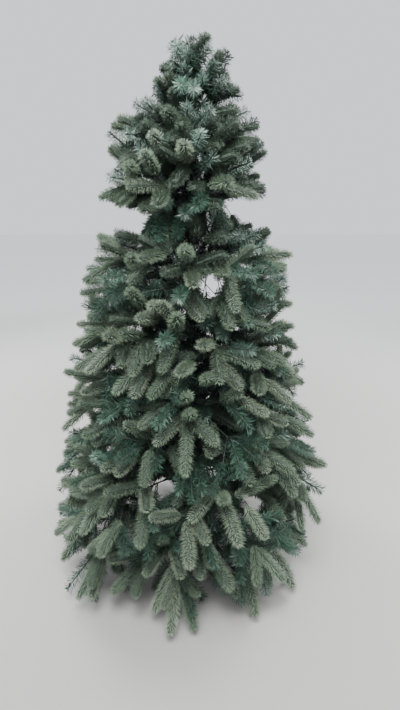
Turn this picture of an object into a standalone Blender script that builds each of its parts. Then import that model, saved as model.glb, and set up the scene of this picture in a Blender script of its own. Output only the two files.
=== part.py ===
"""Artificial fir, 1.8 m tall, on a folding steel stand. Metres, +Z up.

The origin is on the pole's axis at floor level, and -Y is the side that faces the room.
A steel pole carries seven tiers of branches and a leader. The three lowest tiers have bare
wire boughs that end where their foliage starts. The foliage of every branch is one solid:
a stem, twigs that leave it by a seeded rule, and the moulded and foil tips on them.
"""

import math
import random
from collections import namedtuple

import bmesh
import bpy
from mathutils import Matrix, Vector

UP = Vector((0, 0, 1))
RIGHT = Vector((1, 0, 0))
GAP = 0.0003  # between two pieces that touch
UNION_SOLVER = "EXACT"
FLATNESS = math.radians(0.05)  # how far a face may bend before it is split

# Pole: each section is a straight tube, and leans a little more than the one under it.
# Branches leave it at collars, and a sleeve covers each joint between sections.
POLE_SIDES = 8
POLE_FOOT = 0.030
SECTION_TOPS = (0.60, 1.20, 1.56)
SECTION_RADII = (0.016, 0.014, 0.0105)
SECTION_LEANS = (0.0, math.radians(0.9), math.radians(2.2))
SLEEVE_HEIGHT = 0.045
SLEEVE_WALL = 0.0025
POLE_TIP = 1.60
POLE_TIP_RADIUS = 0.005
COLLAR_HEIGHT = 0.026
COLLAR_LIP = 0.009

# Stand: a socket that the pole drops into, four legs that fold out of it and a clamp bolt.
LEG_COUNT = 4
LEG_REACH = 0.285
LEG_RADIUS = 0.009
LEG_SIDES = 6
LEG_TOP = 0.125
SOCKET_HEIGHT = 0.165
SOCKET_RADIUS = 0.022
SOCKET_SIDES = 16
SOCKET_BORE = (SECTION_RADII[0] + GAP) / math.cos(math.pi / SOCKET_SIDES)
FOOT_RADIUS = 0.013
FOOT_HEIGHT = 0.020
BOLT_HEIGHT = 0.148
BOLT_AZIMUTH = math.radians(-50)

# A tier is a ring of branches, the first one at azimuth. They leave the pole at height, rise
# at first, droop to tip_height and end at their reaches; their foliage starts at bare. A
# branch's lift is added to its tip_height. Hang is how much its foliage's tips turn
# downwards, and size is theirs against the others.
Tier = namedtuple("Tier", "name height azimuth rise tip_height bare hang size reaches lifts")
TIERS = (
    Tier(
        "skirt", 0.325, -96, 0.06, 0.015, 0.110, 0.25, 1.05,
        (0.50, 0.49, 0.47, 0.50, 0.54, 0.56), (0.0, 0.0, 0.02, 0.05, 0.09, 0.10),
    ),
    Tier(
        "lower", 0.500, -72, 0.20, 0.400, 0.120, 0.25, 1.05,
        (0.53, 0.53, 0.54, 0.54, 0.54, 0.53), (-0.02, 0.02, -0.03, 0.03, 0.0, -0.02),
    ),
    Tier(
        "middle", 0.700, -90, 0.25, 0.655, 0.105, 0.2, 1.0,
        (0.47, 0.47, 0.48, 0.49, 0.49), (0.0, 0.03, -0.03, 0.02, -0.02),
    ),
    Tier(
        "upper", 0.900, -70, 0.28, 0.870, 0.0, 0.1, 1.0,
        (0.43, 0.42, 0.43, 0.44, 0.43), (0.0, -0.03, 0.03, -0.02, 0.02),
    ),
    Tier(
        "shoulder", 1.105, -88, 0.42, 1.165, 0.0, 0.0, 0.95,
        (0.36, 0.36, 0.38, 0.38, 0.38), (-0.03, 0.02, -0.02, 0.03, 0.0),
    ),
    Tier(
        "neck", 1.345, -66, 0.36, 1.400, 0.0, 0.1, 0.85,
        (0.29, 0.28, 0.31, 0.33), (0.0, 0.02, -0.02, 0.0),
    ),
    Tier(
        "top", 1.490, -98, 0.50, 1.560, 0.0, -0.1, 0.8,
        (0.24, 0.23, 0.25, 0.28), (-0.01, 0.0, -0.02, 0.01),
    ),
)
# The crown's radius at several heights, for the longest branch of each tier.
CROWN = (
    (0.00, 0.56), (0.14, 0.56), (0.42, 0.54), (0.62, 0.49), (0.82, 0.44), (1.00, 0.40),
    (1.17, 0.375), (1.245, 0.335), (1.27, 0.22), (1.305, 0.22), (1.33, 0.32), (1.50, 0.285), (1.58, 0.27),
    (1.63, 0.155), (1.70, 0.125), (1.80, 0.10),
)
TREE_HEIGHT = 1.80
LOWEST_TIP = 0.006
UNDERSIDE_LIFT = 0.6  # of the lowest foliage, against its branch's lift
STAND_CONE = (0.155, 0.45)  # height at the pole, and slope, of the room that the stand takes
LEADER_ROOF = (1.82, 0.4)  # height at the pole, and slope, of the top of the leader's room
LEADER_STEM = Vector((0.012, 0.0, 0.077))
LEADER_LEAN = 0.01  # of its top tip, to the right
LEADER_SIZE = 0.85  # of the tips there, against the others
LEADER_MOULDED = 0.45  # share of the tips
LEADER_ROOM = 0.044  # from the tips, in which another twig grows
LEADER_SLOPE = 0.5  # how much higher than its foot a twig's spot is, against its distance
LEADER_FLOOR = (1.612, 0.10)  # height at the pole, and slope, of the room's underside
POLE_CLEARANCE = 0.030  # between the pole's axis and foliage

# Gaps that the room shows through, for an eye in front of the tree: where each one's middle
# is in the pole's plane (x, z), and its half width and half height there.
EYE = Vector((0.041, -1.64, 1.40))
SEE_THROUGH = (
    (0.075, 1.059, 0.041, 0.028),
    (-0.105, 0.263, 0.051, 0.037),
    (0.248, 0.193, 0.040, 0.033),
    (0.187, 1.308, 0.070, 0.026),
    (-0.211, 1.280, 0.085, 0.026),
    (0.140, -0.450, 0.105, 0.150),
    (-0.335, -0.450, 0.118, 0.150),
)

# Foliage has two kinds of tip: plump moulded ones and thinner foil ones.
STEM_RADII = (0.0054, 0.0040)
TWIG_RADII = (0.0022, 0.0026)
BOUGH_RADII = (0.0048, 0.0038)
BOUGH_SIDES = 6
MOULDED = "moulded"
FOIL = "foil"
TIP_LENGTH = {MOULDED: 0.175, FOIL: 0.150}
TIP_WIDTH = {MOULDED: 0.068, FOIL: 0.062}
TIP_THICKNESS = {MOULDED: 0.78, FOIL: 0.70}  # of the width
# Share of the length and of the width at each ring along a tip.
TIP_RINGS = {
    MOULDED: ((0.32, 1.0), (0.76, 0.82)),
    FOIL: ((0.40, 1.0),),
}
TIP_SKEW = {MOULDED: 0.06, FOIL: 0.09}  # how far a ring's edges are from its middle
TIP_RIDGE = 0.6  # share of a tip's thickness that lies over its axis
CROWDING = 0.78  # least distance between two tips' axes, against their width
# What fit_tip tries in turn: shorter tips, each of them bent (sideways, upwards).
TIP_SCALES = (1.0, 0.85, 0.7)
TIP_BENDS = ((0.0, 0.0), (0.0, 0.4), (0.0, -0.4), (0.35, 0.0), (-0.35, 0.0))
WALL = 0.002  # between a mass and the edge of its space
STEM_STRETCH = 0.12  # length of a stem's straight stretches
STEM_MARGIN = 0.020  # of a stem's ends, which twigs leave free
FORKS = (0.025, 0.050)  # how far behind a stem's end its two side tips leave it
SHORTEST_TWIG = 0.030
SIDE_TIP_SPACING = 0.05  # along a twig
MARKS = (0.25, 0.65, 1.0)  # shares of a tip's length where the room round it is measured
CANDIDATES = 30  # points that a search for room tries
INNER_SPOTS = 0.02  # how near the pole they may be: the square of a share of the reach
ROOM = 0.080  # from the tips, in which another twig grows
MOST_TWIGS = 50  # that a branch tries to grow
FORK_SLOPE = 0.8  # how far behind a spot its twig leaves the stem, against its distance
WAY_STEP = 0.01
GOLDEN_TURN = math.radians(137.5)
MOULDED_SHARE = (0.25, 0.75)  # of the tips, near the pole and further out
SHARE = 0.52  # how much of the way up the lower tier's foliage takes
WAVES = 4  # of the surface between two tiers, round the tree
WAVE_HEIGHT = 0.16  # for each metre from the pole


def crown_radius(height):
    """The crown's radius at this height."""
    for (low, below), (high, above) in zip(CROWN, CROWN[1:]):
        if height <= high:
            return below + (above - below) * (height - low) / (high - low)
    return CROWN[-1][1]


def stem_height(tier, radius):
    """Height of a tier's stems at this distance from the pole: a slope that droops."""
    reach = max(tier.reaches)
    droop = (tier.height + tier.rise * reach - tier.tip_height) / reach**2
    return tier.height + tier.rise * radius - droop * radius**2


def boundary(order, point):
    """Height of the surface between a tier's foliage and that of the tier under it."""
    radius = point.xy.length
    if order == 0:
        return max(LOWEST_TIP, STAND_CONE[0] - STAND_CONE[1] * radius)
    if order == len(TIERS):
        return LEADER_FLOOR[0] + LEADER_FLOOR[1] * radius
    below, above = TIERS[order - 1], TIERS[order]
    middle = (1 - SHARE) * stem_height(below, radius) + SHARE * stem_height(above, radius)
    wave = math.sin(WAVES * math.atan2(point.y, point.x) + order * GOLDEN_TURN)
    return middle + WAVE_HEIGHT * radius * wave


def pole_axis(height):
    """The pole's axis at this height: each section leans more than the one under it."""
    x, low = 0.0, 0.0
    for top, lean in zip(SECTION_TOPS[:-1] + (math.inf,), SECTION_LEANS):
        x += (min(height, top) - low) * math.tan(lean)
        low = top
        if height <= top:
            break
    return Vector((x, 0.0, height))


def pole_radius(height):
    """The tube's radius at this height, collars and sleeves left out."""
    for top, radius in zip(SECTION_TOPS, SECTION_RADII):
        if height <= top:
            return radius
    return POLE_TIP_RADIUS


def flat(azimuth, sides):
    """(azimuth of the flat side that a ray meets, how far the ray leans from its normal)."""
    width = 2 * math.pi / sides
    middle = (math.floor(azimuth / width) + 0.5) * width
    return middle, azimuth - middle


def turned(azimuth):
    """(outward, sideways) unit vectors of a branch at this azimuth."""
    outward = Vector((math.cos(azimuth), math.sin(azimuth), 0.0))
    return outward, Vector((-outward.y, outward.x, 0.0))


def in_a_gap(point, margin):
    """Whether a point is in front of a gap, or behind it, by this much."""
    seen = EYE + (point - EYE) * (EYE.y / (EYE.y - point.y))
    for x, z, wide, high in SEE_THROUGH:
        if ((seen.x - x) / (wide + margin)) ** 2 + ((seen.z - z) / (high + margin)) ** 2 < 1:
            return True
    return False


class Space:
    """The room that one branch's foliage keeps to: a sector between two tiers."""

    def __init__(self, tier, index):
        count = len(tier.reaches)
        self.tier = tier
        self.order = TIERS.index(tier)
        self.reach = tier.reaches[index]
        self.share = self.reach / max(tier.reaches)
        self.lift = tier.lifts[index]
        self.half = math.pi / count
        self.azimuth = math.radians(tier.azimuth) + 2 * self.half * index
        self.outward, self.sideways = turned(self.azimuth)
        self.root = pole_axis(tier.height)

    def holds(self, point):
        """Whether a point is in this sector, clear of the pole and of the bare bough."""
        away = point - self.root
        out = away.dot(self.outward)
        if abs(away.dot(self.sideways)) > out * math.tan(self.half) - WALL:
            return False
        if (point - pole_axis(point.z)).length < POLE_CLEARANCE:
            return False
        if self.tier.bare and out < self.tier.bare:
            return False
        if away.xy.length > min(self.reach, crown_radius(point.z) * self.share):
            return False
        return self.underside(point) + WALL < point.z < boundary(self.order + 1, point) - WALL

    def underside(self, point):
        """Height of the space's lower side: the lowest tier's is lifted with its branch."""
        lift = 0.0 if self.order else UNDERSIDE_LIFT * self.lift
        return boundary(self.order, point) + lift * (point.xy.length / self.reach) ** 2

    def spot(self, draw):
        """A point of the space, at random."""
        while True:
            radius = self.reach * math.sqrt(draw.uniform(INNER_SPOTS, 1.0))
            outward, _ = turned(self.azimuth + self.half * draw.uniform(-1.0, 1.0))
            point = self.root + outward * radius
            low, high = self.underside(point), boundary(self.order + 1, point)
            point.z = draw.uniform(low, max(low, high))
            if self.holds(point):
                return point

    def path(self, radius):
        """A point of the stem, which droops to its own tip's height at its own reach."""
        at = self.root + self.outward * radius
        share = max(self.tier.reaches) / self.reach
        at.z = stem_height(self.tier, radius * share) + self.lift * (radius / self.reach) ** 2
        return at

    def seat(self):
        """(radius, normal) of the collar's flat side that the branch leaves."""
        middle, lean = flat(self.azimuth, POLE_SIDES)
        apothem = (pole_radius(self.tier.height) + COLLAR_LIP) * math.cos(math.pi / POLE_SIDES)
        return (apothem + GAP) / math.cos(lean), turned(middle)[0]

    def joint(self):
        """(radius, direction) of the stem where the bare bough ends and foliage starts."""
        radius = self.tier.bare
        return radius, (self.path(radius + 0.01) - self.path(radius)).normalized()


class LeaderSpace:
    """The room over the top tier, round the end of the pole."""

    def __init__(self):
        self.root = pole_axis(POLE_TIP)

    def holds(self, point):
        radius = (point - self.root).xy.length
        if radius > crown_radius(point.z):
            return False
        top = min(TREE_HEIGHT, LEADER_ROOF[0] - LEADER_ROOF[1] * radius)
        return boundary(len(TIERS), point) + WALL < point.z < top

    def spot(self, draw):
        """A point of the room, at random."""
        while True:
            outward, _ = turned(draw.uniform(0.0, 2 * math.pi))
            height = draw.uniform(LEADER_FLOOR[0], TREE_HEIGHT)
            point = self.root + outward * crown_radius(height) * math.sqrt(draw.random())
            point.z = height
            if self.holds(point):
                return point


Tip = namedtuple("Tip", "root along up length width kind")
Twig = namedtuple("Twig", "points tip")


def tip_frame(along):
    """The direction over a tip: upwards, or for an upright tip to the right."""
    along = along.normalized()
    up = UP if abs(along.z) < 0.9 else RIGHT
    return along, (up - along * along.dot(up)).normalized()


def tip_ring(tip, share, wide):
    """The three points of a tip's ring: its ridge, and an edge on either side."""
    side = tip.along.cross(tip.up) * tip.width / 2 * wide
    lift = tip.up * tip.width * TIP_THICKNESS[tip.kind] * wide
    at = tip.root + tip.along * tip.length * share
    skew = tip.along * tip.length * TIP_SKEW[tip.kind]
    under = at - lift * (1 - TIP_RIDGE)
    return [at + lift * TIP_RIDGE, under + skew + side, under - skew - side]


def tip_points(tip):
    """The corners of a tip, past its root."""
    yield tip.root + tip.along * tip.length
    for share, wide in TIP_RINGS[tip.kind]:
        yield from tip_ring(tip, share, wide)


def apart(a, b):
    """Least distance between the outer parts of two tips' axes."""
    steps = (0.3, 0.5, 0.7, 0.95)
    points = [b.root + b.along * b.length * s for s in steps]
    return min((a.root + a.along * a.length * s - q).length for s in steps for q in points)


class Growth:
    """One branch's foliage: its stem, its twigs and its tips, all inside one space."""

    def __init__(self, space, seed, size, hang=0.0):
        self.space = space
        self.size = size
        self.hang = hang
        self.draw = random.Random(seed)
        self.twigs = []
        self.side_tips = []
        self.tips = []
        self.marks = []

    def fit_tip(self, root, along, kind):
        """A tip at root, bent or shortened to fit its space and the other tips, or None."""
        along, up = tip_frame(along)
        side = along.cross(up)
        long = TIP_LENGTH[kind] * self.size * self.draw.uniform(0.92, 1.08)
        width = TIP_WIDTH[kind] * self.size * self.draw.uniform(0.92, 1.06)
        for scale in TIP_SCALES:
            for across, lift in TIP_BENDS:
                heading, up = tip_frame(along + side * across + UP * lift)
                tip = Tip(root, heading, up, long * scale, width * (0.4 + 0.6 * scale), kind)
                if self.fits(tip):
                    self.tips.append(tip)
                    self.marks += [root + heading * tip.length * s for s in MARKS]
                    return tip
        return None

    def fits(self, tip):
        """Whether a tip is inside the space and clear of the other tips."""
        if not all(self.space.holds(p) for p in tip_points(tip)):
            return False
        middles = [tip.root + tip.along * tip.length * share for share in MARKS]
        if any(in_a_gap(p, tip.width / 4) for p in middles):
            return False
        return all(apart(tip, o) > CROWDING * (tip.width + o.width) / 2 for o in self.tips)

    def gap_at(self, spot):
        """Distance from a point to the nearest tip, or to a spot that was tried before."""
        return min((mark - spot).length for mark in self.marks)

    def open_spots(self, room):
        """Points with this much room round them: each is the most open one of a few."""
        for _ in range(MOST_TWIGS):
            spots = [self.space.spot(self.draw) for _ in range(CANDIDATES)]
            spot = max(spots, key=self.gap_at)
            if self.gap_at(spot) < room:
                return
            self.marks.append(spot)
            yield spot

    def free_way(self, start, along):
        """How far a twig can go before it leaves its space."""
        steps = 1
        while self.space.holds(start + along * WAY_STEP * (steps + 1)):
            steps += 1
        return WAY_STEP * steps

    def add_side_tip(self, root, along, kind):
        """A tip on the side of a twig or stem, its root on that one's axis."""
        tip = self.fit_tip(root, along, kind)
        if tip:
            self.side_tips.append(tip)

    def add_twig(self, start, along, length, kinds):
        """A twig with a tip at its end, and one on its side for each further kind.

        It is as long as its space allows, and where that is short the tip has no twig."""
        along = along.normalized()
        turn_out = Vector((start.x, start.y, 0)).normalized() * 0.3 - UP * self.hang
        while length > SHORTEST_TWIG:
            end = start + along * length
            tip = self.space.holds(end) and self.fit_tip(end, along + turn_out, kinds[0])
            if tip:
                break
            length *= 0.7
        else:
            self.add_side_tip(start, along, kinds[0])
            return
        self.twigs.append(Twig([start, end], tip))
        side = along.cross(UP).normalized()
        for turn, kind in zip((1, -1), kinds[1:]):
            fork = start.lerp(end, self.draw.uniform(0.5, 0.75))
            lift = UP * self.draw.uniform(-0.8, 0.8)
            self.add_side_tip(fork, along + side * turn + lift, kind)


def some_kinds(draw, moulded_share, count):
    """Kinds of tip, of which this share is moulded."""
    return [MOULDED if draw.random() < moulded_share else FOIL for _ in range(count)]


def point_on(stem, space, radius):
    """The point of a stem's straight stretches at this distance from the pole."""
    for low, high in zip(stem, stem[1:]):
        near = (low - space.root).dot(space.outward)
        far = (high - space.root).dot(space.outward)
        if near <= radius <= far:
            return low.lerp(high, (radius - near) / (far - near))
    return stem[-1]


def grow_branch(tier, index):
    """The foliage of one branch of a tier."""
    space = Space(tier, index)
    growth = Growth(space, f"{tier.name} {index}", tier.size, tier.hang)
    draw, sideways = growth.draw, space.sideways
    start = tier.bare or space.seat()[0]
    tip_length = TIP_LENGTH[MOULDED] * tier.size
    last_stretch = space.path(space.reach) - space.path(space.reach - tip_length)
    stop = space.reach - last_stretch.normalized().xy.length * tip_length
    count = max(3, round((stop - start) / STEM_STRETCH) + 1)
    stem = [space.path(start + (stop - start) * k / (count - 1)) for k in range(count)]
    ahead = (space.path(space.reach) - stem[-1]).normalized()
    end_tip = growth.fit_tip(stem[-1], ahead, MOULDED)
    growth.twigs.append(Twig(stem, end_tip))
    for turn, back in zip((1, -1), FORKS):
        fork = point_on(stem, space, stop - back)
        lean = sideways * turn * draw.uniform(0.55, 0.75) + UP * draw.uniform(-0.1, 0.3)
        growth.add_side_tip(fork, ahead + lean, MOULDED)
    first = max(start, POLE_CLEARANCE) + STEM_MARGIN
    last = stop - FORKS[-1] - STEM_MARGIN
    for spot in growth.open_spots(ROOM * tier.size):
        add_stem_twig(growth, spot, first, last)
    return growth


def add_stem_twig(growth, spot, first, last):
    """A twig that leaves the stem, between these radii, for a spot where there is room."""
    space, draw = growth.space, growth.draw
    stem = growth.twigs[0].points
    radius = (spot - space.root).dot(space.outward)
    radius -= FORK_SLOPE * (spot - space.path(max(radius, 0.0))).length
    at = point_on(stem, space, min(last, max(first, radius)))
    along = spot - at
    length = min(along.length, growth.free_way(at, along.normalized()))
    length = max(SHORTEST_TWIG, length - growth.size * TIP_LENGTH[MOULDED] / 2)
    moulded_share = MOULDED_SHARE[(spot - space.root).xy.length > 0.5 * space.reach]
    kinds = some_kinds(draw, moulded_share, 1 + round(length / SIDE_TIP_SPACING))
    growth.add_twig(at, along, length, kinds)


def grow_leader():
    """The sprig round the end of the pole: tips that stand up and lean out."""
    growth = Growth(LeaderSpace(), "leader", LEADER_SIZE)
    draw = growth.draw
    foot = pole_axis(POLE_TIP) + UP * GAP
    crest = foot + LEADER_STEM
    top_tip = growth.fit_tip(crest, LEADER_STEM + RIGHT * LEADER_LEAN, FOIL)
    growth.twigs.append(Twig([foot, crest], top_tip))
    for spot in growth.open_spots(LEADER_ROOM):
        height = spot.z - foot.z - LEADER_SLOPE * (spot - foot).xy.length
        at = foot.lerp(crest, min(1.0, max(0.1, height / LEADER_STEM.z)))
        length = (spot - at).length - LEADER_SIZE * 0.8 * TIP_LENGTH[FOIL]
        kinds = some_kinds(draw, LEADER_MOULDED, 1)
        growth.add_twig(at, spot - at, max(SHORTEST_TWIG, length), kinds)
    return growth


def clear_scene():
    for old in list(bpy.data.objects):
        bpy.data.objects.remove(old)


def material(name, colour, roughness, metallic=0.0):
    made = bpy.data.materials.new(name)
    made.use_nodes = True
    shader = made.node_tree.nodes["Principled BSDF"]
    shader.inputs["Base Color"].default_value = (*colour, 1.0)
    shader.inputs["Roughness"].default_value = roughness
    shader.inputs["Metallic"].default_value = metallic
    made.diffuse_color = (*colour, 1.0)
    return made


def to_object(name, shape, finish):
    """An object in the scene from a bmesh, which is freed."""
    bmesh.ops.recalc_face_normals(shape, faces=shape.faces)
    mesh = bpy.data.meshes.new(name)
    shape.to_mesh(mesh)
    shape.free()
    mesh.materials.append(finish)
    made = bpy.data.objects.new(name, mesh)
    bpy.context.scene.collection.objects.link(made)
    return made


def loft(shape, rings):
    """Joins rings of points into one closed tube. A ring of one point ends it in a tip."""
    loops = [[shape.verts.new(p) for p in ring] for ring in rings]
    for lower, upper in zip(loops, loops[1:]):
        sides = max(len(lower), len(upper))
        for k in range(sides):
            after = (k + 1) % sides
            corners = [lower[k % len(lower)], lower[after % len(lower)]]
            corners += [upper[after % len(upper)], upper[k % len(upper)]]
            shape.faces.new(list(dict.fromkeys(corners)))
    for end in (loops[0][::-1], loops[-1]):
        if len(end) > 2:
            shape.faces.new(end)


def ring(centre, normal, radius, sides, start):
    """Points round a centre in the plane across normal, the first one towards start."""
    first = (start - normal * start.dot(normal)).normalized()
    second = normal.cross(first)
    turns = [2 * math.pi * k / sides for k in range(sides)]
    return [centre + (first * math.cos(t) + second * math.sin(t)) * radius for t in turns]


def tube_rings(points, radii, sides, start_normal=None, end_normal=None, first=UP):
    """Rings of a tapering tube. The normals, where given, set the planes of its ends."""
    rings = []
    last = len(points) - 1
    for k, point in enumerate(points):
        normal = (points[min(k + 1, last)] - points[max(k - 1, 0)]).normalized()
        normal = start_normal if start_normal and k == 0 else normal
        normal = end_normal if end_normal and k == last else normal
        radius = radii[0] + (radii[1] - radii[0]) * k / last
        rings.append(ring(point, normal, radius, sides, first))
    return rings


def solid_of(rings):
    shape = bmesh.new()
    loft(shape, rings)
    bmesh.ops.connect_verts_nonplanar(shape, angle_limit=FLATNESS, faces=shape.faces)
    return shape


def tip_rings(tip):
    """A tip's rings past its root, and its point."""
    rings = [tip_ring(tip, share, wide) for share, wide in TIP_RINGS[tip.kind]]
    return rings + [[tip.root + tip.along * tip.length]]


def twig_shape(twig, radii, start_normal=None):
    """A three-sided twig that widens into the tip at its end."""
    rings = tube_rings(twig.points, radii, 3, start_normal, None, twig.tip.up)
    return solid_of(rings + tip_rings(twig.tip))


def fused(name, shapes, finish):
    """One solid from overlapping closed shapes, joined by one Boolean on a collection."""
    whole = to_object(name, shapes[0], finish)
    group = bpy.data.collections.new(name + "_pieces")
    bpy.context.scene.collection.children.link(group)
    pieces = [to_object(f"{name}_piece_{k}", s, finish) for k, s in enumerate(shapes[1:])]
    for piece in pieces:
        bpy.context.scene.collection.objects.unlink(piece)
        group.objects.link(piece)
    union = whole.modifiers.new("Join", "BOOLEAN")
    union.operation = "UNION"
    union.operand_type = "COLLECTION"
    union.collection = group
    union.solver = UNION_SOLVER
    bpy.context.view_layer.update()
    graph = bpy.context.evaluated_depsgraph_get()
    joined = bpy.data.meshes.new_from_object(whole.evaluated_get(graph), depsgraph=graph)
    whole.modifiers.clear()
    whole.data = joined
    for piece in pieces:
        bpy.data.objects.remove(piece)
    bpy.data.collections.remove(group)
    keep_largest_shell(joined)
    return whole


def keep_largest_shell(mesh):
    """Fills hollows that fusing has sealed and drops loose scraps."""
    shape = bmesh.new()
    shape.from_mesh(mesh)
    unseen = set(shape.verts)
    shells = []
    while unseen:
        shell, edge = set(), [unseen.pop()]
        while edge:
            corner = edge.pop()
            shell.add(corner)
            near = {e.other_vert(corner) for e in corner.link_edges} & unseen
            unseen -= near
            edge += near
        shells.append(shell)
    largest = max(shells, key=len)
    scraps = [v for shell in shells if shell is not largest for v in shell]
    bmesh.ops.delete(shape, geom=scraps, context="VERTS")
    shape.to_mesh(mesh)
    shape.free()


def foliage_mass(name, growth, finish, start_normal):
    """The solid of one branch's foliage."""
    stem, twigs = growth.twigs[0], growth.twigs[1:]
    shapes = [twig_shape(stem, STEM_RADII, start_normal)]
    shapes += [twig_shape(twig, TWIG_RADII) for twig in twigs]
    shapes += [solid_of([[tip.root]] + tip_rings(tip)) for tip in growth.side_tips]
    return fused(name, shapes, finish)


def make_bough(name, space, finish):
    """The bare wire of a branch, from its collar to where the foliage starts."""
    start, seat_normal = space.seat()
    bare, ahead = space.joint()
    points = [space.path(start + (bare - start) * k / 2) for k in range(3)]
    points[-1] -= ahead * GAP
    rings = tube_rings(points, BOUGH_RADII, BOUGH_SIDES, seat_normal, ahead)
    return to_object(name, solid_of(rings), finish)


def pole_rings():
    """(axis point, radius) of each ring down the pole's outside, from foot to tip."""
    rings = [(pole_axis(POLE_FOOT + GAP), SECTION_RADII[0])]
    collars = [(t.height + COLLAR_HEIGHT / 2, COLLAR_HEIGHT, COLLAR_LIP) for t in TIERS]
    sleeves = [(top, SLEEVE_HEIGHT, SLEEVE_WALL) for top in SECTION_TOPS[:-1]]
    for top, height, lip in sorted(collars + sleeves):
        low = top - height
        middle = pole_axis(top - height / 2)
        for z, out in ((low, 0), (low, lip), (top, lip)):
            rings.append((Vector((middle.x, 0, z)), pole_radius(low) + out))
        rings.append((Vector((middle.x, 0, top)), pole_radius(top + 0.001)))
    shoulder = SECTION_TOPS[-1]
    rings.append((pole_axis(shoulder), SECTION_RADII[-1]))
    rings.append((pole_axis(shoulder + 0.006), POLE_TIP_RADIUS))
    rings.append((pole_axis(POLE_TIP), POLE_TIP_RADIUS))
    return rings


def make_pole(finish):
    rings = [ring(centre, UP, radius, POLE_SIDES, RIGHT) for centre, radius in pole_rings()]
    return to_object("pole", solid_of(rings), finish)


def make_socket(finish):
    """The stand's centre: a tube, closed at the floor, that the pole drops into."""
    lip, brim = 0.006, 0.003
    profile = (
        (0.0, SOCKET_RADIUS + lip),
        (0.008, SOCKET_RADIUS + lip),
        (0.010, SOCKET_RADIUS),
        (SOCKET_HEIGHT - 0.012, SOCKET_RADIUS),
        (SOCKET_HEIGHT - 0.010, SOCKET_RADIUS + brim),
        (SOCKET_HEIGHT, SOCKET_RADIUS + brim),
        (SOCKET_HEIGHT, SOCKET_BORE),
        (POLE_FOOT, SOCKET_BORE),
    )
    rings = [ring(UP * z, UP, radius, SOCKET_SIDES, RIGHT) for z, radius in profile]
    return to_object("stand_socket", solid_of(rings), finish)


def socket_seat(azimuth):
    """(radius, normal) of the socket's flat side that a ray at this azimuth leaves."""
    middle, lean = flat(azimuth, SOCKET_SIDES)
    apothem = SOCKET_RADIUS * math.cos(math.pi / SOCKET_SIDES)
    return (apothem + GAP) / math.cos(lean), turned(middle)[0]


def make_leg(index, finish):
    """A tube that comes out of the socket, slopes to the floor and ends in a flat foot."""
    azimuth = math.radians(45) + 2 * math.pi * index / LEG_COUNT
    outward, _ = turned(azimuth)
    start, seat_normal = socket_seat(azimuth)
    route = (
        (start, LEG_TOP),
        (start + 0.030, LEG_TOP - 0.004),
        (LEG_REACH - 0.060, 0.026),
        (LEG_REACH - 0.030, 0.015),
        (LEG_REACH, 0.0125),
    )
    points = [outward * radius + UP * z for radius, z in route]
    radii = (LEG_RADIUS, LEG_RADIUS)
    leg = solid_of(tube_rings(points, radii, LEG_SIDES, seat_normal, outward))
    centre = outward * (LEG_REACH - 0.004)
    levels = (0.0, FOOT_HEIGHT)
    foot = solid_of([ring(centre + UP * z, UP, FOOT_RADIUS, LEG_SIDES, outward) for z in levels])
    return fused(f"stand_leg_{index + 1}", [leg, foot], finish)


def make_clamp_bolt(finish):
    """The wing bolt that holds the pole, screwed in from the side."""
    outward, _ = turned(BOLT_AZIMUTH)
    start, seat_normal = socket_seat(BOLT_AZIMUTH)
    points = [outward * (start + length) + UP * BOLT_HEIGHT for length in (0, 0.022)]
    shank = solid_of(tube_rings(points, (0.0035, 0.0035), 8, seat_normal, outward))
    wing = bmesh.new()
    bmesh.ops.create_cube(wing, size=1.0)
    sizes = Matrix.Diagonal((0.010, 0.030, 0.012, 1.0))
    place = Matrix.Translation(outward * (start + 0.025) + UP * BOLT_HEIGHT)
    matrix = place @ Matrix.Rotation(BOLT_AZIMUTH, 4, "Z") @ sizes
    bmesh.ops.transform(wing, matrix=matrix, verts=wing.verts)
    return fused("clamp_bolt", [shank, wing], finish)


def make_branch(tier, index, wire, leaves):
    """A branch of a tier: its bare bough, where it has one, and its foliage."""
    growth = grow_branch(tier, index)
    space = growth.space
    if tier.bare:
        make_bough(f"bough_{tier.name}_{index + 1}", space, wire)
    start_normal = space.joint()[1] if tier.bare else space.seat()[1]
    foliage_mass(f"foliage_{tier.name}_{index + 1}", growth, leaves, start_normal)


def build():
    clear_scene()
    steel = material("pole_green", (0.020, 0.045, 0.030), 0.45, 0.6)
    black = material("stand_black", (0.015, 0.017, 0.016), 0.40, 0.6)
    zinc = material("bolt_zinc", (0.45, 0.45, 0.43), 0.35, 0.9)
    wire = material("bough_wire", (0.020, 0.030, 0.022), 0.55)
    moulded = material("foliage_moulded", (0.110, 0.165, 0.105), 0.65)
    foil = material("foliage_foil", (0.050, 0.105, 0.070), 0.45)
    make_pole(steel)
    make_socket(black)
    for index in range(LEG_COUNT):
        make_leg(index, black)
    make_clamp_bolt(zinc)
    for tier in TIERS:
        for index in range(len(tier.reaches)):
            make_branch(tier, index, wire, moulded)
    foliage_mass("foliage_leader", grow_leader(), foil, UP)


build()
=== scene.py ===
"""Looks of the artificial fir on its folding stand: needles, finer twigs, wires and steel.

The growth rule and its numbers are the same as the solids' own, so stems, twigs and tips lie
where the solids are. Finer twigs and tips then fill the same reach, open at the gaps that the
room shows through. Metres, +Z up, -Y is the side that faces the room.
"""

import math
import random
from collections import namedtuple

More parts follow.
